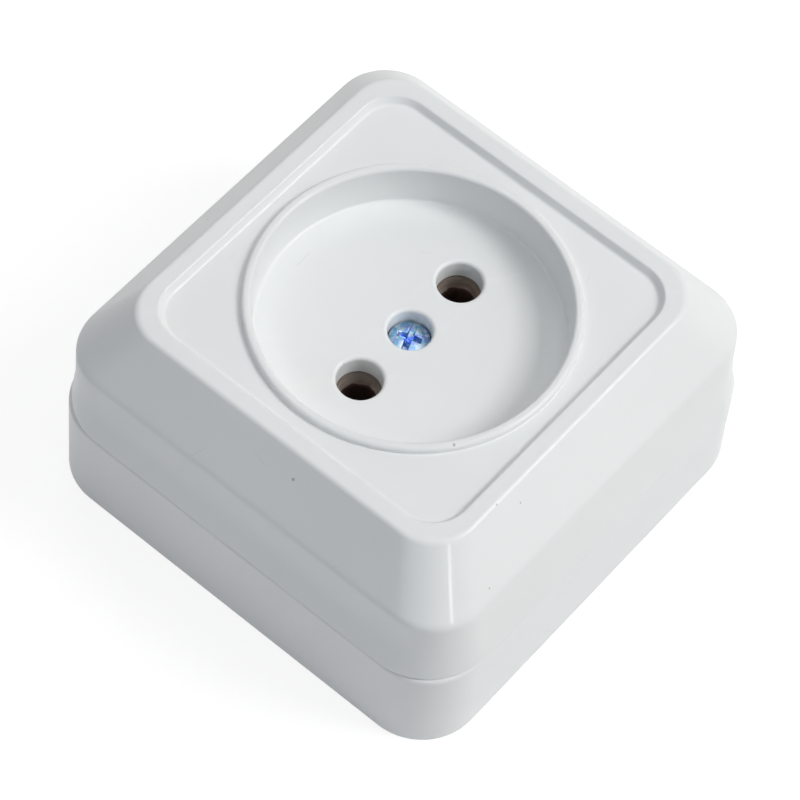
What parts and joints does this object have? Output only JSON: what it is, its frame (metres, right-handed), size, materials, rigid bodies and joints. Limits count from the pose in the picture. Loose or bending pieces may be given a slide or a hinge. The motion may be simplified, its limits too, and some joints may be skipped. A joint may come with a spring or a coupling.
{
  "type": "surface mounted socket",
  "caption": "Square surface mounted wall socket with a round plug well and pin openings, a screw-on cover over a wall box, and spring contacts with screw terminals on an inner block.",
  "frame": {"origin": "centre of the back edge's rectangle, on the plane of the wall", "axes": "+Z out of the wall through the front, +X along the line of the two pins, +Y across it"},
  "size_m": [0.0644, 0.0644, 0.034],
  "materials": {
    "wall_box": "white moulded plastic, satin gloss",
    "cover": "white moulded plastic, glossy with a fine orange peel",
    "cover_screw": "zinc plated with a blue passivation",
    "screw_keeper": "natural soft plastic",
    "threaded_insert": "turned brass",
    "contact_block": "dark brown moulded thermoset",
    "contact_metal": "rolled contact bronze, slightly dulled",
    "spring_steel": "oiled spring steel",
    "zinc_steel": "zinc plated"
  },
  "bodies": {
    "root": {"wall_box": "wall_box", "cover": "cover", "cover_screw": "cover_screw", "screw_keeper": "screw_keeper", "threaded_insert": "threaded_insert", "contact_block": "contact_block", "contact_left": "contact_metal", "contact_right": "contact_metal", "contact_spring_left": "spring_steel", "contact_spring_right": "spring_steel", "clamp_plate_left": "zinc_steel", "clamp_plate_right": "zinc_steel", "terminal_screw_left": "zinc_steel", "terminal_screw_right": "zinc_steel", "terminal_nut_left": "zinc_steel", "terminal_nut_right": "zinc_steel", "block_screw_front": "zinc_steel", "block_screw_rear": "zinc_steel", "block_washer_front": "zinc_steel", "block_washer_rear": "zinc_steel"}
  },
  "joints": []
}
